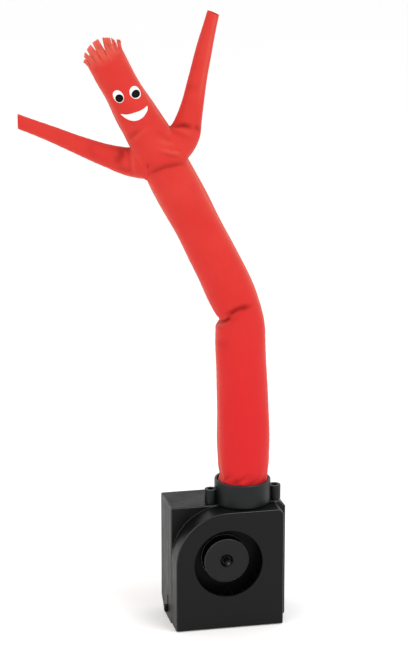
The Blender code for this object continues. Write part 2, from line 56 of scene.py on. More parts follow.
CLOTH_THICKNESS = 0.35 * MM
FAN_AXIS = (-0.016, 0.0, 0.0515)
HUB_RADIUS = 17.25 * MM
INLET_RADIUS = 25.95 * MM
THROAT_END = -4.0 * MM
SHORTEST_EDGE = 0.17 * MM
FLAT_ANGLE = math.radians(0.6)
SHARP_ANGLE = math.radians(32)
WELD = 2e-7
UNION_STEPS = 7
CORNER_WIDTH = 0.9
MERGE_WIDTH = 9.0
SEAM_FADE = 14.0
LINE_SAMPLES = 90
ROOT_SAMPLES = 160
FOLD_SAMPLES = 26
AREA_SAMPLES = 400
DISC_SIDE = 29
SMILE_COLUMNS = 70
SMILE_ROWS = 15


class Body(Enum):
    """The bodies of the part that pieces are made for."""

    HOUSING = "housing"
    ROTOR = "rotor"


class Slot(Enum):
    """The record's material slots that pieces are made for."""

    PLASTIC = "black_plastic"
    FAN = "fan_plastic"
    CLOTH = "red_cloth"


class Station(NamedTuple):
    """Centre and radius of a sleeve at one place, in millimetres."""

    u: float
    z: float
    radius: float


class Crease(NamedTuple):
    """Trough across a sleeve: mm along, degrees round, mm deep.

    Side is its deepest angle and reach how far round it runs to either side, rise how far
    it climbs by there, and below and above are its widths on the two sides.
    """

    along: float
    side: float
    reach: float
    rise: float
    below: float
    above: float
    depth: float


class FoldLine(NamedTuple):
    """Soft fold along a path of (mm along, degrees round); a negative depth is a ridge.

    Below and above are its widths on the two sides, in mm.  Each end fades over a share of
    the path that is one over fade.
    """

    path: tuple[tuple[float, float], ...]
    depth: float
    below: float
    above: float
    fade: float = 3.0


class HairStrip(NamedTuple):
    """One strip cut into the crown, between two columns of the trunk's cloth.

    Heights are in mm above the crown's edge, angles in degrees; start and end are the
    strip's two sides, in the sense right, back, left, front.
    """

    start: int
    end: int
    slit_start: float
    slit_end: float
    tip_start: float
    tip_end: float
    turn: float
    flare: float
    narrow: float
    twist: float


BODY_STATIONS = tuple(Station(*row) for row in (
    (0.0, 93.4, 18.6), (0.0, 104.0, 18.4), (0.4, 110.5, 17.6),
    (0.8, 119.0, 18.6), (0.7, 132.0, 19.2), (0.2, 155.0, 19.4),
    (-0.4, 174.0, 19.0), (-1.0, 194.0, 18.8), (-1.9, 214.0, 18.4),
    (-2.4, 227.0, 18.1), (-6.0, 243.0, 17.4), (-12.7, 260.1, 17.5),
    (-30.0, 295.0, 16.8), (-50.8, 335.2, 17.1), (-64.5, 361.0, 16.4),
    (-78.1, 384.8, 14.9), (-85.7, 398.8, 13.7), (-92.8, 411.6, 13.7),
    (-97.8, 421.1, 13.6),
))
LEFT_ARM_STATIONS = tuple(Station(*row) for row in (
    (-60.0, 348.6, 11.8), (-70.5, 347.8, 11.7), (-82.0, 348.6, 10.4),
    (-96.9, 352.7, 8.3), (-116.3, 359.8, 6.9), (-136.8, 368.2, 5.8),
    (-163.4, 378.6, 5.1),
))
RIGHT_ARM_STATIONS = tuple(Station(*row) for row in (
    (-60.5, 352.5, 12.4), (-54.0, 356.0, 12.5), (-47.4, 361.7, 12.2),
    (-42.2, 370.1, 11.3), (-39.6, 378.5, 9.5), (-37.4, 387.5, 8.2),
    (-33.6, 407.0, 6.9), (-28.3, 431.0, 5.8), (-21.9, 455.9, 4.4),
))
BODY_CREASES = (
    Crease(138.2, 195, 120, 15.0, 1.5, 10.0, 3.7),
    Crease(142.5, 215, 70, 6.0, 2.0, 2.4, 1.2),
    Crease(263.0, 262, 120, 0.0, 5.0, 5.0, 1.0),
    Crease(297.0, 268, 100, 4.0, 3.5, 4.5, 0.9),
)

TRUNK_FOLDS = tuple(FoldLine(*row) for row in (
    (((145.0, 240), (146.4, 250), (148.0, 263), (148.8, 280), (148.4, 295),
      (148, 312)), 2.4, 1.0, 2.3, 3.6),
    (((138, 172), (140.3, 205), (141.8, 229), (144, 250)), 1.9, 0.9, 1.5, 4.0),
    (((143, 212), (144.5, 227), (146, 241), (147.2, 254)), -0.6, 0.9, 0.9),
    (((136, 178), (139, 222), (141.5, 252)), -0.4, 1.4, 1.0),
    (((294.5, 204), (296, 222), (297, 240), (297.5, 264)), 0.45, 0.9, 2.4),
    (((292, 206), (294, 232), (296, 258), (297, 290)), -0.25, 1.8, 1.1),
    (((266.5, 228), (266.5, 250), (266, 270), (264, 294), (260.5, 324)), 0.8, 1.0, 2.4),
    (((266, 204), (270.5, 223), (273, 242)), 0.8, 1.2, 1.8),
    (((280, 282), (272.5, 305), (265.5, 348)), -0.70, 1.2, 1.2),
    (((275.5, 284), (269.5, 307), (263.5, 346)), 0.45, 1.2, 1.2),
    (((287, 284), (280, 306), (272, 346)), -0.35, 1.4, 1.4),
    (((292, 298), (280, 318), (269, 332)), 0.25, 1.6, 2.2),
    (((279, 190), (270, 187), (263, 188)), 0.4, 1.6, 1.6),
    (((156, 200), (163, 214), (166, 232)), 0.15, 2.6, 3.4),
    (((126, 196), (123, 218), (124, 240)), 0.25, 3.0, 2.4),
    (((16.5, 212), (18.5, 224), (21, 236)), 0.5, 1.2, 1.8),
    (((15.5, 244), (18.5, 258), (22.5, 277)), 0.55, 1.2, 2.0),
    (((15, 285), (17.5, 296), (20, 306)), 0.4, 1.2, 1.8),
    (((144, 150), (148, 120), (149, 95)), 1.2, 1.6, 2.6, 4.0),
    (((268, 150), (270, 120), (268, 90), (266, 55)), 0.9, 1.8, 3.0),
    (((294, 150), (297, 120), (298, 90), (293, 50)), 0.8, 2.4, 3.6),
))
LEFT_ARM_FOLDS = tuple(FoldLine(*row) for row in (
    (((27.5, 344), (29.5, 325), (28.8, 305), (30, 274), (28, 256)), 0.85, 2.2, 3.4, 2.4),
    (((23.5, 366), (24.5, 325), (23, 296), (21.5, 271), (20.5, 243),
      (19, 214)), 0.34, 1.0, 1.3, 4.0),
    (((21, 366), (20.5, 305), (19.5, 272), (18.2, 237)), -0.4, 1.4, 1.3),
    (((30, 245), (24, 240), (18, 246)), 0.4, 2.0, 2.6),
    (((26, 60), (29, 90), (27, 130)), 0.9, 2.0, 3.0),
    (((46, 250), (52, 285), (50, 320)), 0.25, 2.0, 3.0),
))
RIGHT_ARM_FOLDS = tuple(FoldLine(*row) for row in (
    (((26.6, 208), (29.0, 224), (30.8, 245), (31.4, 270), (31.0, 292)), 2.3, 0.9, 2.3, 2.2),
    (((32.5, 298), (31.5, 318), (29.5, 336)), 0.7, 1.1, 2.4),
    (((23, 205), (24, 235), (24.4, 266), (24, 300)), 0.25, 1.6, 1.6),
    (((26.4, 210), (27.6, 235), (28.2, 268), (28, 297)), -0.25, 1.4, 1.2),
    (((28, 150), (31, 115), (32, 80), (29, 40)), 1.2, 2.0, 3.6),
    (((56, 210), (60, 240), (58, 280)), 0.25, 2.4, 3.0),
))
HAIR_STRIPS = tuple(HairStrip(*row) for row in (
    (-4, 4, 1.5, 2.0, 7.0, 8.0, 0, 15, 0.30, 0.3),
    (4, 12, 2.0, 2.5, 8.4, 9.4, 5, 8, 0.34, -0.5),
    (12, 20, 2.5, 3.5, 9.3, 11.8, 3, 5, 0.22, 0.6),
    (20, 30, 3.5, 6.0, 12.2, 14.7, 12, 2, 0.16, -0.4),
    (30, 39, 6.0, 8.8, 15.3, 14.9, 0, -2, 0.12, 0.4),
    (39, 49, 8.8, 6.4, 14.3, 12.6, -3, 1, 0.16, -0.5),
    (49, 58, 6.4, 4.0, 12.0, 9.4, -5, 3, 0.55, 0.5),
    (58, 68, 4.0, 2.5, 8.0, 6.0, 0, 9, 0.60, 0.2),
    (68, 77, 2.5, 3.0, 7.4, 8.8, -3, 5, 0.30, -0.6),
    (77, 87, 3.0, 3.4, 9.6, 10.6, -2, -1, 0.18, 0.7),
    (87, 93, 3.4, 4.2, 10.8, 11.4, 2, 3, 0.20, -0.5),
    (93, 101, 4.2, 4.6, 11.8, 11.2, 0, -2, 0.16, 0.6),
    (101, 108, 4.6, 6.4, 11.6, 10.6, 5, 2, 0.20, -0.7),
    (108, 114, 6.4, 4.5, 10.6, 9.6, 8, 5, 0.22, 0.5),
    (114, 119, 4.5, 3.5, 9.6, 9.0, 10, 3, 0.24, -0.5),
    (119, 124, 3.5, 1.5, 8.6, 7.6, 9, 10, 0.30, 0.4),
))


# --- helpers --------------------------------------------------------------------------
def eased(share: np.ndarray) -> np.ndarray:
    """Share from 0 to 1 with soft ends: three times its square less twice its cube."""
    return share * share * (3.0 - 2.0 * share)


def turn_from(angle: np.ndarray, middle: np.ndarray | float) -> np.ndarray:
    """Degrees from middle to angle, between -180 and 180."""
    return (angle - middle + 180.0) % 360.0 - 180.0


def linked(name: str, data: bpy.types.ID) -> bpy.types.Object:
    """New object with data, linked to the scene."""
    made = bpy.data.objects.new(name, data)
    bpy.context.scene.collection.objects.link(made)
    return made


def look_at(made: bpy.types.Object, place: tuple, target: tuple) -> None:
    """Puts a lamp or camera at place, facing target."""
    made.location = place
    aim = Vector(target) - Vector(place)
    made.rotation_euler = aim.to_track_quat("-Z", "Y").to_euler()


def grid_quads(rows: int, columns: int, closed: bool, first: int = 0) -> np.ndarray:
    """Quads of a rows by columns grid of points.

    Args:
        rows: number of rows of points.
        columns: number of points in each row.
        closed: whether each row joins its own start.
        first: index of the grid's first point.

    Returns:
        Array of shape (faces, 4): each quad is (row, column), the next column, the next
        row and column, and the next row.
    """
    row = np.arange(rows - 1)[:, None]
    column = np.arange(columns if closed else columns - 1)[None, :]
    after = (column + 1) % columns
    corners = (row * columns + column, row * columns + after,
               (row + 1) * columns + after, (row + 1) * columns + column)
    return np.stack(corners, axis=-1).reshape(-1, 4) + first


@dataclass
class Patch:
    """Arrays of one surface: places, quads, flat coordinates and colour layers."""

    points: np.ndarray
    quads: np.ndarray
    flat: np.ndarray | None = None
    layers: dict[str, np.ndarray] = field(default_factory=dict)

    def join(self, other: "Patch") -> "Patch":
        """Both surfaces as one; they have the same layers."""
        return Patch(np.concatenate((self.points, other.points)),
                     np.concatenate((self.quads, other.quads + len(self.points))),
                     np.concatenate((self.flat, other.flat)),
                     {name: np.concatenate((values, other.layers[name]))
                      for name, values in self.layers.items()})

    def mesh(self, name: str, weld: float = 0.0) -> bpy.types.Object:
        """Puts the arrays into a smooth-shaded object at the origin.

        Args:
            name: the object's name.
            weld: points closer than this many metres become one, if it isn't nought.

        Returns:
            The new object, linked to the scene.
        """
        mesh = bpy.data.meshes.new(name)
        mesh.from_pydata(self.points.tolist(), [], self.quads.tolist())
        if self.flat is not None:
            corners = self.flat.astype(np.float32).ravel()
            mesh.uv_layers.new(name="cloth").data.foreach_set("uv", corners)
        for label, values in self.layers.items():
            layer = mesh.attributes.new(label, "FLOAT", "POINT")
            layer.data.foreach_set("value", values.astype(np.float32).ravel())
        if weld:
            work = bmesh.new()
            work.from_mesh(mesh)
            bmesh.ops.remove_doubles(work, verts=work.verts, dist=weld)
            work.to_mesh(mesh)
            work.free()
        mesh.shade_smooth()
        return linked(name, mesh)


def thicken(piece: bpy.types.Object, thickness: float) -> None:
    """Gives an open surface a wall that grows inwards."""
    wall = piece.modifiers.new("wall", "SOLIDIFY")
    wall.thickness = thickness
    wall.offset = -1.0
    wall.use_even_offset = False


def smooth_path(points: np.ndarray, count: int) -> np.ndarray:
    """Even samples of a Catmull-Rom curve through points, by their chord distances."""
    steps = np.linalg.norm(np.diff(points, axis=0), axis=1)
    knots = np.concatenate(([0.0], np.cumsum(steps)))
    return hermite(points, knots, np.linspace(0.0, knots[-1], count))


def hermite(rows: np.ndarray, knots: np.ndarray, where: np.ndarray) -> np.ndarray:
    """Cubic through rows at their knots.

    The value is the sum of both ends' values and slopes weighted by the four cubic Hermite
    polynomials of the share of the span; slopes are central differences of the rows.

    Args:
        rows: (n, k) values.
        knots: n rising positions.
        where: positions to read, any shape.

    Returns:
        Values of shape where.shape + (k,).
    """
    slopes = np.gradient(rows, knots, axis=0)
    index = np.clip(np.searchsorted(knots, where, side="right") - 1, 0, len(knots) - 2)
    width = (knots[index + 1] - knots[index])[..., None]
    t = (where - knots[index])[..., None] / width
    return ((1 + 2 * t) * (1 - t) ** 2 * rows[index] + t * (1 - t) ** 2 * width * slopes[index]
            + t * t * (3 - 2 * t) * rows[index + 1]
            + t * t * (t - 1) * width * slopes[index + 1])


def figure_to_part(u: np.ndarray, depth: np.ndarray, z: np.ndarray) -> np.ndarray:
    """Turns places in the figure's own plane (mm) about the collar's axis, into metres."""
    c, s = math.cos(FIGURE_TURN), math.sin(FIGURE_TURN)
    return np.stack((u * c - depth * s, u * s + depth * c, z), axis=-1) * MM


def part_to_figure(points: np.ndarray) -> tuple[np.ndarray, np.ndarray, np.ndarray]:
    """Places in metres as u, depth and z of the figure's own plane, in mm."""
    c, s = math.cos(FIGURE_TURN), math.sin(FIGURE_TURN)
    x, y, z = np.moveaxis(points / MM, -1, 0)
    return x * c + y * s, y * c - x * s, z


# --- finishes -------------------------------------------------------------------------
class Recipe:
    """One node material, built step by step round its Principled shader."""

    def __init__(self, name: str) -> None:
        """Starts a material with its own shader."""
        self.material = bpy.data.materials.new(name)
        self.material.use_nodes = True
        self.tree = self.material.node_tree
        self.shader = self.tree.nodes["Principled BSDF"]

    def node(self, kind: str, settings: dict | None = None, inputs: dict | None = None
             ) -> bpy.types.Node:
        """Adds a node.

        Args:
            kind: Blender's node type.
            settings: node properties.
            inputs: input values or the sockets that feed them, by name or index.

        Returns:
            The new node.
        """
        made = self.tree.nodes.new(kind)
        for key, value in (settings or {}).items():
            setattr(made, key, value)
        for key, value in (inputs or {}).items():
            self.feed(made.inputs[key], value)
        return made

    def feed(self, socket: bpy.types.NodeSocket, value: object) -> None:
        """Sets a socket, or links it when value is another socket."""
        if isinstance(value, bpy.types.NodeSocket):
            self.tree.links.new(value, socket)
        else:
            socket.default_value = value

    def math(self, operation: str, *values: object) -> bpy.types.NodeSocket:
        """Result of a Math node on one to three values."""
        return self.node("ShaderNodeMath", {"operation": operation},
                         dict(enumerate(values))).outputs[0]

    def vector(self, operation: str, *values: object) -> bpy.types.NodeSocket:
        """Result of a Vector Math node: its length if that is asked for, else its vector."""
        made = self.node("ShaderNodeVectorMath", {"operation": operation},
                         dict(enumerate(values)))
        return made.outputs["Value" if operation == "LENGTH" else "Vector"]

    def layer(self, name: str) -> bpy.types.NodeSocket:
        """Value of one of the mesh's own layers."""
        return self.node("ShaderNodeAttribute", {"attribute_name": name}).outputs["Fac"]

    def cloth_place(self) -> bpy.types.NodeSocket:
        """Place on the unrolled cloth, in metres."""
        return self.node("ShaderNodeUVMap", {"uv_map": "cloth"}).outputs["UV"]

    def blend(self, share: object, low: object, high: object) -> bpy.types.NodeSocket:
        """Colour mixed from low to high by share."""
        made = self.node("ShaderNodeMix", {"data_type": "RGBA"}, {0: share, 6: low, 7: high})
        return made.outputs[2]

    def noise(self, place: object, scale: float, detail: float = 3.0,
              rough: float = 0.55) -> bpy.types.NodeSocket:
        """Noise of about one over scale metres, from 0 to 1."""
        return self.node("ShaderNodeTexNoise", None,
                         {"Vector": place, "Scale": scale, "Detail": detail,
                          "Roughness": rough}).outputs["Fac"]

    def ramp(self, value: object, low: float, high: float, start: float = 0.0,
             end: float = 1.0) -> bpy.types.NodeSocket:
        """Value mapped from low..high to start..end, held at both ends."""
        return self.node("ShaderNodeMapRange", None,
                         {0: value, 1: low, 2: high, 3: start, 4: end}).outputs[0]

    def bump(self, height: object, distance: float, strength: float = 1.0,
             below: object = None) -> bpy.types.NodeSocket:
        """Normal raised by height times distance, over an earlier normal."""
        inputs = {"Height": height, "Distance": distance, "Strength": strength}
        if below is not None:
            inputs["Normal"] = below
        return self.node("ShaderNodeBump", None, inputs).outputs["Normal"]

    def object_place(self) -> bpy.types.NodeSocket:
        """Place on the piece, in metres."""
        return self.node("ShaderNodeTexCoord").outputs["Object"]

    def finish(self, values: dict) -> bpy.types.Material:
        """Sets or links the shader's own sockets and returns the material."""
        for key, value in values.items():
            self.feed(self.shader.inputs[key], value)
        return self.material


@dataclass(frozen=True)
class Nylon:
    """Thin red woven nylon, with soft crinkles, seam allowances that show through, and painted
    light and shade.

    The colour is low at the foot of the legs' heights (metres); above them it is paler, a
    painted sheen.
    """

    name: str = "red_nylon"
    colour: tuple = (0.615, 0.040, 0.030, 1.0)
    deep: tuple = (0.590, 0.031, 0.025, 1.0)
    # The legs' deeper red; the paler colour above them is a painted sheen of the top light on
    # the slanted parts.
    low: tuple = (0.620, 0.019, 0.021, 1.0)
    # Painted shade in the folds' depths.
    fold: tuple = (0.17, 0.012, 0.010, 1.0)
    # Part seam allowance showing through, part painted highlight by the sides, on ridges and in
    # the hair.
    seam: tuple = (0.680, 0.125, 0.085, 1.0)
    # Painted light that comes through the thin hair from behind.
    lit: tuple = (0.860, 0.170, 0.120, 1.0)
    thread: float = 0.30 * MM
    legs: tuple = (0.16, 0.33)

    def material(self) -> bpy.types.Material:
        """The cloth's colour, weave, crinkles and seams, with painted light and painted shade.
        """
        recipe = Recipe(self.name)
        place = recipe.object_place()
        surface = recipe.cloth_place()
        cloudy = recipe.ramp(recipe.noise(place, 38.0, 3.0), 0.35, 0.68)
        colour = recipe.blend(cloudy, self.colour, self.deep)
        height = recipe.node("ShaderNodeSeparateXYZ", None, {0: place}).outputs["Z"]
        # Painted sheen: paler above the legs, for the top light's sheen on the slanted parts.
        colour = recipe.blend(recipe.ramp(height, *self.legs), self.low, colour)
        # Painted shade: this layer darkens the folds' depths and takes away their specular and
        # sheen.
        fold_shade = recipe.layer("fold_shade")
        # In turn: the seam layer, part seam allowance and part painted highlight; painted light
        # through the hair; painted shade in the folds.
        for share, tone in ((recipe.layer("band"), self.seam),
                            (recipe.layer("through"), self.lit), (fold_shade, self.fold)):
            colour = recipe.blend(share, colour, tone)
        scale = math.tau / (20.0 * self.thread)
        weave = recipe.math("MAXIMUM", *(
            recipe.node("ShaderNodeTexWave", {"bands_direction": side},
                        {"Vector": surface, "Scale": scale}).outputs["Fac"] for side in "XY"))
        stretched = recipe.node("ShaderNodeMapping", None,
                                {"Vector": surface, "Scale": (3.2, 1.0, 1.0)}).outputs[0]
        drawn = recipe.noise(stretched, 70.0, 4.0, 0.6)
        crinkle = recipe.noise(place, 260.0, 4.0, 0.6)
        normal = recipe.bump(drawn, 0.55 * MM, 0.55)
        normal = recipe.bump(crinkle, 0.22 * MM, 0.5, normal)
        normal = recipe.bump(weave, 0.05 * MM, 0.5, normal)
        rough = recipe.ramp(crinkle, 0.3, 0.7, 0.50, 0.62)
        return recipe.finish({
            "Base Color": colour, "Roughness": rough, "Normal": normal,
            # Painted shade: less specular and sheen in the folds' depths.
            "Specular IOR Level": recipe.ramp(fold_shade, 0.0, 0.6, 0.10, 0.0),
            "Sheen Weight": recipe.ramp(fold_shade, 0.0, 0.4, 0.22, 0.0), "Sheen Roughness": 0.34,
            "Sheen Tint": (0.70, 0.42, 0.30, 1.0),
        })


@dataclass(frozen=True)
class Ink:
    """Printed film on the cloth: even colour, a faint painted glint in the middle, the weave
    below.
    """

    name: str
    colour: tuple
    painted_glint: tuple
    rough: float = 0.42
    gloss: float = 0.2

    def material(self) -> bpy.types.Material:
        """Ink that lets the cloth's crinkles through."""
        recipe = Recipe(self.name)
        place = recipe.object_place()
        surface = recipe.cloth_place()
        away = recipe.vector("LENGTH", surface)
        # Painted glint: the film's middle takes the second colour.
        colour = recipe.blend(recipe.ramp(away, 0.25, 0.45), self.painted_glint, self.colour)
        speck = recipe.noise(place, 900.0, 3.0)
        normal = recipe.bump(recipe.noise(place, 260.0, 4.0, 0.6), 0.22 * MM, 0.5)
        return recipe.finish({
            "Base Color": colour, "Normal": normal,
            "Roughness": recipe.ramp(speck, 0.3, 0.7, self.rough - 0.05, self.rough + 0.07),
            "Specular IOR Level": self.gloss,
        })


@dataclass(frozen=True)
class Moulding:
    """Black moulded plastic with a fine skin, faint smudges, a slightly wavy face and painted
    shade in the fan's throat.
    """

    name: str
    colour: tuple
    hazed: tuple
    smooth: float
    rough: float
    gloss: float
    rings: float = 0.0
    bore: float = 0.0
    throat: float = INLET_RADIUS
    # The painted shade's colour and gloss, in the throat and near the axis.
    deep: tuple = (0.0034, 0.0040, 0.0037, 1.0)
    painted_shade_gloss: float = 0.08

    def material(self) -> bpy.types.Material:
        """The plastic's colour, gloss and skin.

        Painted shade makes it darker and less glossy between the hub and the inlet's rim, at
        the housing's front, and within the bore's distance of the fan's axis.
        """
        recipe = Recipe(self.name)
        place = recipe.object_place()
        smudge = recipe.noise(place, 55.0, 4.0, 0.6)
        colour = recipe.blend(recipe.ramp(smudge, 0.35, 0.75), self.colour, self.hazed)
        skin = recipe.noise(place, 1500.0, 2.0)
        wave = recipe.noise(place, 45.0, 2.0)
        normal = recipe.bump(wave, 0.20 * MM, 0.30)
        normal = recipe.bump(skin, 0.01 * MM, 0.30, normal)
        # Painted shade: the mask below darkens the throat in front and the bore round the axis.
        moved = recipe.vector("SUBTRACT", place, FAN_AXIS)
        away = recipe.vector("LENGTH", recipe.vector("MULTIPLY", moved, (1.0, 0.0, 1.0)))
        past_hub = recipe.ramp(away, HUB_RADIUS, HUB_RADIUS + 0.4 * MM)
        throat = recipe.math("MULTIPLY", past_hub, recipe.ramp(
            away, self.throat, self.throat + 0.1 * MM, 1.0, 0.0))
        depth = recipe.node("ShaderNodeSeparateXYZ", None, {0: place}).outputs["Y"]
        throat = recipe.math("MULTIPLY", throat,
                             recipe.ramp(depth, THROAT_END, THROAT_END + MM, 1.0, 0.0))
        if self.bore:
            throat = recipe.math("MAXIMUM", throat, recipe.ramp(
                away, self.bore - 1.0 * MM, self.bore, 1.0, 0.0))
        colour = recipe.blend(throat, colour, self.deep)
        if self.rings:
            ring = recipe.math("SINE", recipe.math("MULTIPLY", away, math.tau / self.rings))
            normal = recipe.bump(ring, 0.02 * MM, 0.5, normal)
        return recipe.finish({
            "Base Color": colour, "Normal": normal,
            "Roughness": recipe.ramp(smudge, 0.3, 0.7, self.smooth, self.rough),
            "Specular IOR Level": recipe.ramp(throat, 0.0, 1.0, self.gloss, self.painted_shade_gloss),
        })


@dataclass(frozen=True)
class TurnedMetal:
    """Metal turned about the fan's axis, with fine marks round it."""

    name: str
    colour: tuple
    rough: float

    def material(self) -> bpy.types.Material:
        """The metal's tone and its turning marks."""
        recipe = Recipe(self.name)
        place = recipe.object_place()
        squeezed = recipe.node("ShaderNodeMapping", None,
                               {"Vector": place, "Scale": (0.06, 1.0, 0.06)}).outputs[0]
        marks = recipe.noise(squeezed, 6000.0, 2.0)
        stain = recipe.noise(place, 160.0, 4.0)
        colour = recipe.blend(recipe.ramp(stain, 0.4, 0.7), self.colour,
                              tuple(0.72 * c for c in self.colour[:3]) + (1.0,))
        return recipe.finish({
            "Base Color": colour, "Metallic": 1.0,
            "Roughness": recipe.ramp(marks, 0.3, 0.7, self.rough - 0.06, self.rough + 0.1),
            "Normal": recipe.bump(marks, 0.01 * MM, 0.5),
        })


# --- cloth ----------------------------------------------------------------------------
@dataclass(frozen=True)
class CentreLine:
    """Planar centre line of a sleeve, through its stations."""

    stations: tuple[Station, ...]

    def rows(self) -> np.ndarray:
        """Stations as an array."""
        return np.array(self.stations, dtype=float)

    def knots(self) -> np.ndarray:
        """Distance of each station along the chords, in mm."""
        steps = np.linalg.norm(np.diff(self.rows()[:, :2], axis=0), axis=1)
        return np.concatenate(([0.0], np.cumsum(steps)))

    def length(self) -> float:
        """Whole length, in mm."""
        return float(self.knots()[-1])

    def values(self, along: np.ndarray) -> np.ndarray:
        """u, z and radius at distances along the line."""
        return hermite(self.rows(), self.knots(), np.asarray(along, dtype=float))

    def tangent(self, along: np.ndarray) -> np.ndarray:
        """Unit direction (u, z) along the line, from points half a millimetre either side."""
        ahead = self.values(np.minimum(along + 0.5, self.length()))[..., :2]
        behind = self.values(np.maximum(along - 0.5, 0.0))[..., :2]
        run = ahead - behind
        return run / np.linalg.norm(run, axis=-1, keepdims=True)

    def area(self, start: float = 0.0, short: float = 0.0) -> float:
        """Cloth round the line, in square metres: the circumference summed along it.

        Args:
            start: mm along the line where the cloth begins.
            short: mm before the line's end where it stops.
        """
        along = np.linspace(start, self.length() - short, AREA_SAMPLES)
        return float(np.trapz(math.tau * self.values(along)[:, 2], along)) * MM * MM

    def distance(self, points: np.ndarray) -> np.ndarray:
        """How far points (metres) lie outside the sleeve, in mm.

        It is the least, over short steps of the line, of the distance to the step less the
        radius there; t is the share of the step where the point's foot falls.
        """
        samples = self.values(np.linspace(0.0, self.length(), LINE_SAMPLES))
        start, step = samples[:-1], np.diff(samples, axis=0)
        u, depth, z = (axis[:, None] for axis in part_to_figure(points.reshape(-1, 3)))
        across, up = u - start[:, 0], z - start[:, 1]
        t = (across * step[:, 0] + up * step[:, 1]) / (step[:, :2] ** 2).sum(axis=1)
        t = np.clip(t, 0.0, 1.0)
        away = np.sqrt((across - t * step[:, 0]) ** 2 + (up - t * step[:, 1]) ** 2 + depth ** 2)
        return (away - start[:, 2] - t * step[:, 2]).min(axis=1).reshape(points.shape[:-1])


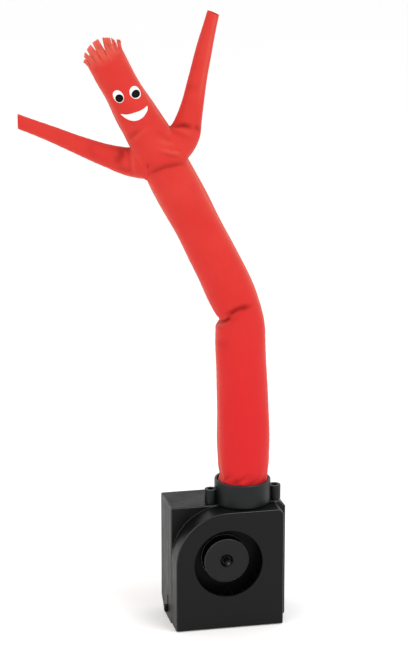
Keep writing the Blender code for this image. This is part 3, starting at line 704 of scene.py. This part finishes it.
@dataclass
class Sleeve:
    """Blown-up tube of cloth, sewn along two seams, round a centre line.

    The seams' places are in degrees round it, and all lengths and depths are in mm.
    """

    name: str
    nodes: tuple[str, ...]
    line: CentreLine
    neighbours: tuple[CentreLine, ...]
    seams: tuple[float, ...]
    folds: tuple[FoldLine, ...]
    creases: tuple[Crease, ...] = ()
    seam_swing: float = 6.0
    seam_from: float = 0.0
    columns: int = 80
    row_step: float = 0.95
    unevenness: float = 0.08
    # Share of the wide pale band round each seam, part seam allowance and part painted
    # highlight.
    pale: float = 0.12
    gathers: float = 0.0
    slant: float = 0.0
    longest: float = 0.0
    object: bpy.types.Object | None = field(default=None, init=False)

    def seam_gap(self, along: np.ndarray, angle: np.ndarray) -> np.ndarray:
        """Arc distance to the nearest seam, in mm, signed towards the front.

        Each seam wanders by seam_swing degrees, as the sine of the distance along.
        """
        radius = self.line.values(along)[..., 2]
        best = np.full(np.broadcast(along, angle).shape, 1e3)
        for k, seam in enumerate(self.seams):
            middle = seam + self.seam_swing * np.sin(along / 52.0 + 2.0 * k)
            sense = 1.0 if math.cos(math.radians(seam)) < 0 else -1.0
            arc = np.radians(turn_from(angle, middle)) * radius * sense
            best = np.where(np.abs(arc) < np.abs(best), arc, best)
        return best

    def sewn(self, along: np.ndarray) -> np.ndarray:
        """How plainly the seams show, from 0 where the root's folds hide them to 1."""
        if not self.seam_from:
            return np.ones_like(along)
        return np.clip((along - self.seam_from) / SEAM_FADE, 0.0, 1.0)

    def crease_depth(self, along: np.ndarray, angle: np.ndarray) -> np.ndarray:
        """Depth of the creases, in mm.

        Each is depth times a slightly pointed bell of the distance past its line, which
        climbs with the square of the turn from its deepest side, times a share that ends
        at its reach.
        """
        total = np.zeros(np.broadcast(along, angle).shape)
        for fold in self.creases:
            turned = (turn_from(angle, fold.side) / fold.reach) ** 2
            share = np.clip(1.0 - turned, 0.0, None)
            ahead = along - fold.along - fold.rise * turned
            width = np.where(ahead < 0.0, fold.below, fold.above)
            total = total + fold.depth * share * np.exp(-np.abs(ahead / width) ** 1.6)
        return total

    def fold_depth(self, along: np.ndarray, angle: np.ndarray) -> tuple[np.ndarray, np.ndarray]:
        """Depth of the soft folds, and their shares for painted shade in troughs and highlight
        on ridges.

        On the unrolled cloth each fold is depth times the bell of the distance to its
        path, wider above than below, and fades at both ends of the path.

        Returns:
            Depth in mm, and the largest shares from 0 to 1 among the troughs and the ridges.
        """
        radius = self.line.values(along)[..., 2]
        total = np.zeros(np.broadcast(along, angle).shape)
        shares = np.zeros((2,) + total.shape)
        for fold in self.folds:
            path = smooth_path(np.array(fold.path, dtype=float), FOLD_SAMPLES)
            level = np.full(total.shape, 1e6)
            side = np.zeros(total.shape)
            share = np.zeros(total.shape)
            travel = np.linspace(0.0, 1.0, len(path))
            for k, (row, turn) in enumerate(path):
                arc = np.radians(turn_from(angle, turn)) * radius
                away = np.hypot(along - row, arc)
                nearer = away < level
                level = np.where(nearer, away, level)
                side = np.where(nearer, along - row, side)
                share = np.where(nearer, travel[k], share)
            width = np.where(side < 0.0, fold.below, fold.above)
            ends = np.clip(np.minimum(share, 1.0 - share) * fold.fade, 0.0, 1.0)
            shape = np.exp(-(level / width) ** 2) * (0.25 + 0.75 * ends * (2.0 - ends))
            total = total + fold.depth * shape
            kind = int(fold.depth < 0.0)
            shares[kind] = np.maximum(shares[kind], shape * min(1.0, abs(fold.depth)))
        return total, shares

    def relief(self, along: np.ndarray, angle: np.ndarray) -> tuple[np.ndarray, np.ndarray]:
        """How far the cloth lies inside its round form, in mm, and the folds' shares.

        To the troughs and folds it adds slow waves round and along the sleeve, the pinched
        seams with their puckers, and pleats that die out above the collar.
        """
        angle = np.asarray(angle, dtype=float)
        turn = np.radians(angle)
        soft, shares = self.fold_depth(along, angle)
        total = self.crease_depth(along, angle) + soft
        slow = (np.sin(along / 19.0 + 2.0 * turn) + np.sin(along / 11.3 - 3.0 * turn + 1.3)
                + 0.7 * np.sin(along / 6.1 + 4.0 * turn + 0.4))
        total = total - self.unevenness * slow
        gap = self.seam_gap(along, angle)
        sewn = self.sewn(along)
        pinch = np.exp(-(gap / 0.9) ** 2)
        pucker = np.exp(-np.abs(gap) / 3.2) * np.sin(along * math.tau / 6.3
                                                     + 2.6 * np.sin(along / 8.7))
        total = total + sewn * (0.14 * pinch + 0.07 * pucker)
        if self.gathers:
            near = np.exp(-((along - 17.0) / 10.0) ** 2)
            total = total + self.gathers * near * (
                np.sin(9.0 * turn + 0.8) + 0.6 * np.sin(14.0 * turn + along / 9.0)
                + 0.9 * np.sin(6.0 * turn + along / 2.6 + 1.5 * np.sin(3.0 * turn)))
        return total, shares

    def place(self, along: np.ndarray, angle: np.ndarray, out: np.ndarray | float = 0.0
              ) -> np.ndarray:
        """Places on the cloth, in metres.

        The point is the centre plus the radius, less the relief, times the cosine of the
        angle across the line and the sine of the angle towards the back.

        Args:
            along: mm along the line.
            angle: degrees round it: 0 right, 90 back, 180 left, 270 front.
            out: mm further out.
        """
        along, angle = np.broadcast_arrays(np.asarray(along, float), np.asarray(angle, float))
        values = self.line.values(along)
        run = self.line.tangent(along)
        turn = np.radians(angle)
        reach = values[..., 2] - self.relief(along, angle)[0] + out
        across = reach * np.cos(turn)
        return figure_to_part(values[..., 0] + across * run[..., 1], reach * np.sin(turn),
                              values[..., 1] - across * run[..., 0])

    def merge_lift(self, along: np.ndarray, angle: np.ndarray) -> np.ndarray:
        """How far the cloth is drawn out to run on smoothly into its neighbours, in mm.

        The cloth is moved out by steps until the smooth union of its own distance a and
        the neighbour's distance b is nought, where the union is a times h plus b times
        (1 - h), less w times h times (1 - h), with h = 0.5 + (b - a) / 2w.  The width w
        grows between 2 and 11 mm in front of the figure's own plane or behind it, so that
        the corners between the sleeves stay sharp.  Past the middle of the join, where h
        falls below 0.44, the cloth dives under its neighbour.
        """
        lift = np.zeros(np.broadcast(along, angle).shape)
        for other in self.neighbours:
            raised = np.zeros_like(lift)
            for _ in range(UNION_STEPS):
                points = self.place(along, angle, raised)
                depth = np.abs(part_to_figure(points)[1])
                share = np.clip((depth - 2.0) / 9.0, 0.0, 1.0)
                width = CORNER_WIDTH + (MERGE_WIDTH - CORNER_WIDTH) * eased(share)
                beyond = other.distance(points)
                h = np.clip(0.5 + 0.5 * (beyond - raised) / width, 0.0, 1.0)
                miss = raised * h + beyond * (1.0 - h) - width * h * (1.0 - h)
                raised = np.clip(raised - miss / (0.35 + 0.65 * h), 0.0, 0.4 * width)
            under = np.clip((h - 0.30) / 0.14, 0.0, 1.0)
            lift = np.maximum(lift, raised * eased(under))
        return lift

    def start(self, angle: np.ndarray) -> np.ndarray:
        """Where the sleeve begins at each angle, in mm along its line."""
        return np.zeros_like(angle)

    def end(self, angle: np.ndarray) -> np.ndarray:
        """Where the sleeve ends at each angle, in mm along its line.

        The end is cut slantwise: its length less the slant times (1 - the cosine of the
        angle from the longest side).
        """
        turn = np.radians(angle - self.longest)
        return self.line.length() - self.slant * (1.0 - np.cos(turn))

    def surface(self) -> Patch:
        """The sleeve's cloth on a grid of rows along it and columns round it."""
        angle = np.arange(self.columns) * 360.0 / self.columns
        rows = int(round(self.line.length() / self.row_step))
        first = self.start(angle)[None, :]
        last = self.end(angle)[None, :]
        along = first + (last - first) * np.linspace(0.0, 1.0, rows)[:, None]
        turn = np.broadcast_to(angle[None, :], along.shape)
        points = self.place(along, turn, self.merge_lift(along, turn))
        shares = self.relief(along, turn)[1]
        column = np.arange(self.columns)
        around = np.stack((column, column + 1, column + 1, column), axis=-1)
        upward = np.stack((along[:-1], np.roll(along[:-1], -1, 1),
                           np.roll(along[1:], -1, 1), along[1:]), axis=-1)
        flat = np.stack((np.broadcast_to(around * self.column_width(), upward.shape), upward),
                        axis=-1) * MM
        return Patch(points.reshape(-1, 3), grid_quads(rows, self.columns, True),
                     flat.reshape(-1, 4, 2), self.tints(along, turn, shares))

    def column_width(self) -> float:
        """Mean width of a column of cloth, in mm."""
        return math.tau * float(self.line.rows()[:, 2].mean()) / self.columns

    def tints(self, along: np.ndarray, angle: np.ndarray, shares: np.ndarray
              ) -> dict[str, np.ndarray]:
        """Colour layers: seam allowances and painted highlights by seams and on ridges; painted
        shade in folds.
        """
        gap = self.seam_gap(along, angle)
        # The wide band is partly a painted highlight; the two narrow ones are the seam
        # allowances.
        band = (self.pale * np.exp(-(gap / 5.5) ** 2)
                + 0.26 * np.exp(-((gap - 1.9) / 1.1) ** 2)
                + 0.10 * np.exp(-((gap + 2.2) / 1.1) ** 2))
        # Ridges get a painted highlight.
        band = np.maximum(band * self.sewn(along), 0.55 * shares[1])
        # Painted shade: darker in the folds' troughs and in the creases.
        fold_shade = np.clip(0.58 * shares[0] + 0.012 * self.crease_depth(along, angle), 0.0, 0.75)
        return {"band": band.ravel(), "fold_shade": fold_shade.ravel(), "through": np.zeros(fold_shade.size)}

    def build(self) -> bpy.types.Object:
        """Makes the sleeve's mesh, with its wall, coordinates and colour layers."""
        self.object = self.surface().mesh(self.name, weld=WELD)
        thicken(self.object, CLOTH_THICKNESS)
        return self.object


@dataclass
class Trunk(Sleeve):
    """Trunk sleeve whose open crown is cut into strips of hair."""

    creases: tuple[Crease, ...] = BODY_CREASES
    columns: int = 128
    row_step: float = 1.05
    unevenness: float = 0.16
    pale: float = 0.42
    gathers: float = 0.34
    strips: tuple[HairStrip, ...] = HAIR_STRIPS
    strip_rows: int = 16

    def crown_light(self, height: np.ndarray, column: np.ndarray) -> dict[str, np.ndarray]:
        """Painted light that comes through the thin hair, with streaks along it, from 0 to 1.

        The painted light climbs smoothly from 3 mm below the crown's edge to 8 mm above it,
        and at the back, seen from inside, more of it comes through.
        """
        rise = eased(np.clip((height + 3.0) / 11.0, 0.0, 1.0))
        back = np.clip(np.sin(np.radians(column * 360.0 / self.columns)), 0.0, 1.0)
        streak = 0.70 + 0.30 * np.sin(1.9 * column + 0.35 * height + 2.0 * np.sin(0.7 * column))
        return {"band": (0.85 * rise * streak).ravel(),
                "through": (np.minimum(2.0 * back, 1.0) * rise * streak).ravel()}

    def tints(self, along: np.ndarray, angle: np.ndarray, shares: np.ndarray
              ) -> dict[str, np.ndarray]:
        """Colour layers of a sleeve, with the crown's painted light."""
        layers = super().tints(along, angle, shares)
        light = self.crown_light(along - self.line.length(), angle * self.columns / 360.0)
        return layers | {"band": np.maximum(layers["band"], light["band"]),
                         "through": light["through"]}

    def strip_area(self) -> float:
        """Cloth in all the strips, in square metres: width times mean height of each."""
        width = self.column_width() * MM
        return sum((s.end - s.start) * width * 0.5 * (s.tip_start + s.tip_end) * MM
                   for s in self.strips)

    def strip(self, cut: HairStrip) -> Patch:
        """One strip, which starts on the crown's edge and comes free above its slits.

        With x the share across the strip and the height e a share of the tip's height at
        x, the free share t runs from 0 at the slits to 1 at the tip.  The point lies on
        the crown's cylinder at height e, moved by the tangents of the turn and the flare
        times the free height, which starts softly as its square over itself plus 1.6 mm,
        and by a twist that grows with t across the strip.

        Args:
            cut: the strip's row of the table.
        """
        end = self.line.length()
        centre = self.line.values(np.array(end))
        along = self.line.tangent(np.array(end))
        x = np.linspace(0.0, 1.0, cut.end - cut.start + 1)[None, :]
        share = np.linspace(0.0, 1.0, self.strip_rows)[:, None]
        ragged = 0.22 * np.sin(5.0 * x * math.pi + cut.start)
        tip = cut.tip_start + (cut.tip_end - cut.tip_start) * x + ragged
        slit = cut.slit_start + (cut.slit_end - cut.slit_start) * x
        height = share * tip
        free = np.clip(height - slit, 0.0, None)
        part = free / (tip - slit)
        spread = 0.5 + (x - 0.5) * (1.0 - cut.narrow * part ** 0.9 - 0.06 * (part > 0.0))
        step = 360.0 / self.columns
        angle = (cut.start + (cut.end - cut.start) * spread) * step
        turn = np.radians(angle)
        radius = centre[2] - self.relief(np.full(angle.shape, end), angle)[0]
        soft = free * free / (free + 1.6)
        middle = math.radians(0.5 * (cut.start + cut.end) * step)
        out = (soft * math.tan(math.radians(cut.flare)) + 0.5 * part ** 3
               + cut.twist * (x - 0.5) * part * 2.2)
        aside = soft * math.tan(math.radians(cut.turn))
        across = radius * np.cos(turn) + out * math.cos(middle) + aside
        depth = radius * np.sin(turn) + out * math.sin(middle)
        points = figure_to_part(centre[0] + along[0] * height + along[1] * across, depth,
                                centre[1] + along[1] * height - along[0] * across)
        quads = grid_quads(*angle.shape, False)
        column = np.broadcast_to(cut.start + x * (cut.end - cut.start), angle.shape)
        place = np.stack((column * self.column_width(), end + height), axis=-1)
        place = place.reshape(-1, 2) * MM
        layers = self.crown_light(height, column) | {"fold_shade": np.zeros(angle.size)}
        return Patch(points.reshape(-1, 3), quads, place[quads], layers)

    def surface(self) -> Patch:
        """The trunk's cloth with its strips."""
        whole = super().surface()
        for cut in self.strips:
            whole = whole.join(self.strip(cut))
        return whole


@dataclass
class Arm(Sleeve):
    """Arm sleeve, which starts at its seam with the trunk and ends in an open cuff.

    The root is how much of its centre line, in mm, runs inside the trunk.
    """

    trunk: CentreLine = field(default_factory=lambda: CentreLine(BODY_STATIONS))
    tuck: float = 0.9
    root: float = 12.0

    def start(self, angle: np.ndarray) -> np.ndarray:
        """Distance along at which the arm is tuck mm inside the trunk, for each angle.

        The trunk's distance is read on a fine grid, and the last crossing is found between
        two rows by its share of their difference.
        """
        along = np.linspace(0.0, 0.5 * self.line.length(), ROOT_SAMPLES)
        rows, turn = np.meshgrid(along, angle, indexing="ij")
        depth = self.trunk.distance(self.place(rows, turn)) + self.tuck
        inside = depth < 0.0
        last = np.where(inside.any(axis=0), len(along) - 1 - inside[::-1].argmax(axis=0), 0)
        last = np.minimum(last, len(along) - 2)
        pick = np.arange(len(angle))
        low, high = depth[last, pick], depth[last + 1, pick]
        share = np.clip(-low / np.maximum(high - low, 1e-6), 0.0, 1.0)
        return along[last] + share * (along[1] - along[0])

    def declare_cut(self, trunk: Trunk) -> None:
        """Works out the arm's length outside the trunk and its cloth's area, and uses neither.
        """
        (self.line.length() - self.root - self.slant) * MM
        self.line.area(self.root, self.slant)


@dataclass
class Face:
    """Plain printed eyes and smile, thin films that lie on the trunk's cloth."""

    trunk: Sleeve
    film: float = 0.12
    eyes: tuple = (("left", 326.0, 254.5, 3.8, 4.8), ("right", 322.6, 306.0, 4.45, 4.6))
    pupils: tuple = (("left", 324.6, 254.8, 3.0, 2.85), ("right", 321.6, 305.0, 3.55, 2.75))
    upper: tuple = ((314.2, 235.0), (312.9, 244.5), (311.6, 258.0), (310.8, 272.5),
                    (310.0, 287.5), (309.8, 301.5), (310.1, 316.0))
    lower: tuple = ((313.6, 234.5), (310.4, 242.5), (307.8, 251.5), (305.8, 262.0),
                    (304.8, 274.5), (304.9, 287.0), (306.1, 299.5), (307.8, 311.0),
                    (309.6, 316.6))

    def disc(self, name: str, along: float, angle: float, wide: float, tall: float,
             out: float) -> bpy.types.Object:
        """Oval film laid on the cloth.

        A square grid (p, q) is rounded to a disc by p times the root of 1 - q squared / 2,
        and q likewise, so it has no pole.

        Args:
            name: piece name.
            along: middle, mm along the trunk.
            angle: middle, degrees round it.
            wide: half width round the trunk, mm.
            tall: half height along it, mm.
            out: mm above the cloth.
        """
        line = np.linspace(-1.0, 1.0, DISC_SIDE)
        p, q = np.meshgrid(line, line, indexing="ij")
        x, y = p * np.sqrt(1.0 - q * q / 2.0), q * np.sqrt(1.0 - p * p / 2.0)
        radius = float(self.trunk.line.values(np.array([along]))[0, 2])
        points = self.trunk.place(along + tall * x, angle + np.degrees(wide * y / radius), out)
        quads = grid_quads(len(line), len(line), False)
        flat = np.stack((x, y), axis=-1).reshape(-1, 2)
        made = Patch(points.reshape(-1, 3), quads, flat[quads]).mesh(name)
        thicken(made, self.film * MM)
        return made

    def smile(self) -> bpy.types.Object:
        """Crescent film between two curves drawn on the unrolled cloth.

        A point is the upper curve's point plus the share across times the step to the
        lower curve's point at the same share of its length.
        """
        upper = smooth_path(np.array(self.upper), SMILE_COLUMNS)
        lower = smooth_path(np.array(self.lower), SMILE_COLUMNS)
        share = np.linspace(0.0, 1.0, SMILE_ROWS)[:, None, None]
        drawn = lower[None] + share * (upper - lower)[None]
        points = self.trunk.place(drawn[..., 0], drawn[..., 1], self.film)
        quads = grid_quads(*drawn.shape[:2], False)
        flat = np.ones((drawn[..., 0].size, 2))
        made = Patch(points.reshape(-1, 3), quads, flat[quads]).mesh("smile")
        thicken(made, self.film * MM)
        return made

    def build(self) -> list[bpy.types.Object]:
        """Makes and dresses all the films."""
        white = Ink("white_print", (0.83, 0.82, 0.80, 1.0), (0.83, 0.82, 0.80, 1.0)).material()
        # The black ink's lighter middle is a painted glint on the pupils.
        black = Ink("black_print", (0.002, 0.002, 0.002, 1.0), (0.006, 0.006, 0.006, 1.0),
                    0.60, 0.08).material()
        made = []
        for kind, table, out, ink in (("eye", self.eyes, self.film, white),
                                      ("pupil", self.pupils, 1.8 * self.film, black)):
            for label, *shape in table:
                made.append(self.disc(f"{kind}_{label}", *shape, out))
                made[-1].data.materials.append(ink)
        made.append(self.smile())
        made[-1].data.materials.append(white)
        return made


@dataclass
class Figure:
    """The whole cloth figure."""

    body: CentreLine = field(default_factory=lambda: CentreLine(BODY_STATIONS))
    left: CentreLine = field(default_factory=lambda: CentreLine(LEFT_ARM_STATIONS))
    right: CentreLine = field(default_factory=lambda: CentreLine(RIGHT_ARM_STATIONS))

    def trunk(self) -> Trunk:
        """Trunk, with the hair cut from its crown."""
        return Trunk("trunk_cloth", ("tube_body", "hair_fringe"), self.body,
                     (self.left, self.right), (352.0, 194.0), TRUNK_FOLDS)

    def left_arm(self) -> Arm:
        """Arm that points to the left of the picture."""
        return Arm("left_arm_cloth", ("arm_left",), self.left, (self.body,), (14.0, 192.0),
                   LEFT_ARM_FOLDS, slant=2.05)

    def right_arm(self) -> Arm:
        """Arm that points up, on the right of the picture."""
        return Arm("right_arm_cloth", ("arm_right",), self.right, (self.body,),
                   (312.0, 150.0), RIGHT_ARM_FOLDS, seam_swing=9.0, seam_from=46.0,
                   slant=0.65, longest=180.0, root=14.0)

    def build(self) -> None:
        """Makes the cloth pieces and dresses them; their cuts' sizes are worked out but not
        used.
        """
        nylon = Nylon().material()
        trunk = self.trunk()
        arms = [self.left_arm(), self.right_arm()]
        for sleeve in [trunk, *arms]:
            piece = sleeve.build()
            piece.data.materials.append(nylon)
            report(piece, Body.HOUSING, Slot.CLOTH, *sleeve.nodes)
        films = Face(trunk).build()
        for film in films:
            report(film, Body.HOUSING, None)
        longest = max(cut.tip_start for cut in HAIR_STRIPS)
        (self.body.length() + longest) * MM
        self.body.area() + trunk.strip_area()
        for arm in arms:
            arm.declare_cut(trunk)


# --- housing --------------------------------------------------------------------------
def rounded(node: str, finishes: list[bpy.types.Material], edge: float) -> bpy.types.Object:
    """Copy of a node with merged points, flat faces joined and its edges rounded.

    Args:
        node: the node it stands for.
        finishes: materials of the faces and of the rounded edges, whose lighter finish paints
            their highlights.
        edge: width of the rounded edges, in metres.
    """
    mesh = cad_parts[node].data.copy()
    mesh.name = f"{node}_fine"
    mesh.materials.clear()
    work = bmesh.new()
    work.from_mesh(mesh)
    bmesh.ops.remove_doubles(work, verts=work.verts, dist=SHORTEST_EDGE)
    bmesh.ops.dissolve_limit(work, angle_limit=FLAT_ANGLE, verts=work.verts,
                             edges=work.edges)
    work.to_mesh(mesh)
    work.free()
    mesh.shade_smooth()
    made = linked(f"{node}_fine", mesh)
    for finish in finishes:
        mesh.materials.append(finish)
    round_off = made.modifiers.new("edges", "BEVEL")
    round_off.width = edge
    round_off.segments = 2
    round_off.use_clamp_overlap = False
    round_off.limit_method = "ANGLE"
    round_off.angle_limit = SHARP_ANGLE
    # The rounded edges take the last finish, which paints their highlights.
    round_off.material = len(finishes) - 1
    made.modifiers.new("flat_faces", "WEIGHTED_NORMAL").keep_sharp = True
    return made


@dataclass
class Housing:
    """Fan housing: its mouldings in black plastic, with rounded edges lightened as painted
    highlights.

    Each edge is under half the width of the moulding's narrowest flat face, so that the
    rounded edges on both its sides don't meet.
    """

    edge: float = 0.18 * MM
    collar_edge: float = 0.13 * MM

    def build(self) -> None:
        """Makes the four mouldings and dresses the switch's knob."""
        housing = [Moulding("housing_black", (0.0022, 0.0031, 0.0027, 1.0),
                            (0.0034, 0.0042, 0.0037, 1.0), 0.38, 0.50, 0.18).material(),
                   # Painted highlight: the edges' finish is ten times lighter and much glossier
                   # than the faces.
                   Moulding("housing_edge_highlight", (0.022, 0.024, 0.023, 1.0),
                            (0.036, 0.038, 0.037, 1.0), 0.22, 0.32, 0.80).material()]
        collar = [Moulding("collar_black", (0.0028, 0.0040, 0.0046, 1.0),
                           (0.0040, 0.0056, 0.0062, 1.0), 0.34, 0.46, 0.26).material(),
                  # Painted highlight: a lighter, glossier teal finish for the collar's edges.
                  Moulding("collar_edge", (0.012, 0.019, 0.024, 1.0),
                           (0.020, 0.030, 0.036, 1.0), 0.22, 0.32, 0.60).material()]
        for node, finishes, edge in (("front_cover", housing, self.edge),
                                     ("body_shell", housing, self.edge),
                                     ("back_cover", housing, self.edge),
                                     ("outlet_collar", collar, self.collar_edge)):
            report(rounded(node, finishes, edge), Body.HOUSING, Slot.PLASTIC, node)
        dress("switch_knob", Moulding("knob_black", (0.002, 0.002, 0.002, 1.0),
                                      (0.004, 0.004, 0.004, 1.0), 0.4, 0.5, 0.2).material())


@dataclass
class FanUnit:
    """Impeller, shaft and motor, turning about one axis behind the inlet."""

    edge: float = 0.19 * MM

    def build(self) -> None:
        """Makes the impeller with a rounded hub, and dresses the motor and shaft."""
        # Painted shade: the impeller's faces past the hub are darkened in front, as the
        # housing's dark inside.
        face = Moulding("fan_black", (0.0034, 0.0038, 0.0037, 1.0),
                        (0.0050, 0.0054, 0.0053, 1.0), 0.34, 0.44, 0.24, 1.1 * MM,
                        throat=60.0 * MM).material()
        # Painted highlight on the hub's rounded rim, darkened again as painted shade near the
        # axis and past the hub.
        rim = Moulding("fan_edge_highlight", (0.085, 0.088, 0.088, 1.0), (0.120, 0.124, 0.124, 1.0),
                       0.16, 0.24, 1.0, bore=12.0 * MM, throat=60.0 * MM).material()
        report(rounded("impeller", [face, rim], self.edge), Body.ROTOR, Slot.FAN, "impeller")
        dress("motor", TurnedMetal("motor_can", (0.52, 0.52, 0.53, 1.0), 0.34).material())
        dress("motor_shaft", TurnedMetal("ground_shaft", (0.075, 0.075, 0.078, 1.0), 0.34
                                         ).material())


# --- studio ---------------------------------------------------------------------------
@dataclass
class Studio:
    """Pale floor, soft lights and the camera at the photograph's angle."""

    camera_place: tuple = (-0.3579, -1.5160, 0.6403)
    camera_aim: tuple = (-0.0280, 0.0061, 0.2279)
    middle: tuple = (-0.03, 0.0, 0.20)
    lens: float = 122.2
    sky: float = 0.86
    glow: float = 0.14

    def floor(self) -> None:
        """Wide matte light table, a grid that rises far behind in a smooth curve.

        Height is the square of the distance past seven metres, over eight.
        """
        x, y = np.meshgrid(np.linspace(-9, 9, 25), np.linspace(-7, 16, 70), indexing="xy")
        z = np.clip(y - 7.0, 0.0, None) ** 2 / 8.0
        points = np.stack((x, y, z), axis=-1)
        made = Patch(points.reshape(-1, 3), grid_quads(*x.shape, False)).mesh("studio_floor")
        recipe = Recipe("studio_paint")
        grain = recipe.noise(recipe.object_place(), 6.0, 3.0)
        tone = recipe.blend(grain, (0.955, 0.955, 0.955, 1.0), (0.975, 0.975, 0.975, 1.0))
        made.data.materials.append(recipe.finish({
            "Base Color": tone, "Roughness": 0.9, "Specular IOR Level": 0.1,
            "Emission Color": (1.0, 1.0, 1.0, 1.0), "Emission Strength": self.glow}))

    def lamp(self, name: str, place: tuple, size: float, power: float, colour: tuple
             ) -> None:
        """Square soft light that faces the figure's middle."""
        light = bpy.data.lights.new(name, "AREA")
        light.color = colour
        light.shape, light.size, light.energy = "SQUARE", size, power
        look_at(linked(name, light), place, self.middle)

    def build(self) -> None:
        """Makes the floor, sky, lights and camera."""
        self.floor()
        bpy.context.scene.view_settings.view_transform = "Standard"
        world = bpy.data.worlds.new("studio_sky")
        world.use_nodes = True
        sky = world.node_tree.nodes["Background"]
        sky.inputs["Color"].default_value = (1.0, 1.0, 1.0, 1.0)
        sky.inputs["Strength"].default_value = self.sky
        bpy.context.scene.world = world
        self.lamp("key_light", (0.70, -0.80, 1.45), 0.9, 10.0, (1.0, 1.0, 1.0))
        self.lamp("fill_light", (-1.2, -0.6, 0.8), 1.0, 4.4, (1.0, 0.86, 0.77))
        camera = bpy.data.cameras.new("camera")
        camera.lens, camera.sensor_width = self.lens, 36.0
        camera.clip_start, camera.clip_end = 0.05, 60.0
        made = linked("camera", camera)
        look_at(made, self.camera_place, self.camera_aim)
        bpy.context.scene.camera = made


# --- the whole ------------------------------------------------------------------------
def dress(node: str, material: bpy.types.Material) -> None:
    """Gives a CAD node, whose shape is right as it is, its finished material."""
    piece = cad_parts[node]
    piece.data.materials.clear()
    piece.data.materials.append(material)
    LOG.info("dressed %s", node)


def report(piece: bpy.types.Object, body: Body, slot: Slot | None, *nodes: str) -> None:
    """Fastens a piece to its body and hides the nodes that it stands for."""
    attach(piece, body.value)
    if nodes:
        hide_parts(*nodes)
    LOG.info("made %s on %s", piece.name, body.value)


def main() -> None:
    """Builds the sub-assemblies in order."""
    logging.basicConfig(level=logging.INFO, format="%(name)s: %(message)s")
    Studio().build()
    Housing().build()
    FanUnit().build()
    Figure().build()
    bpy.context.view_layer.update()


if __name__ == "__main__":
    main()
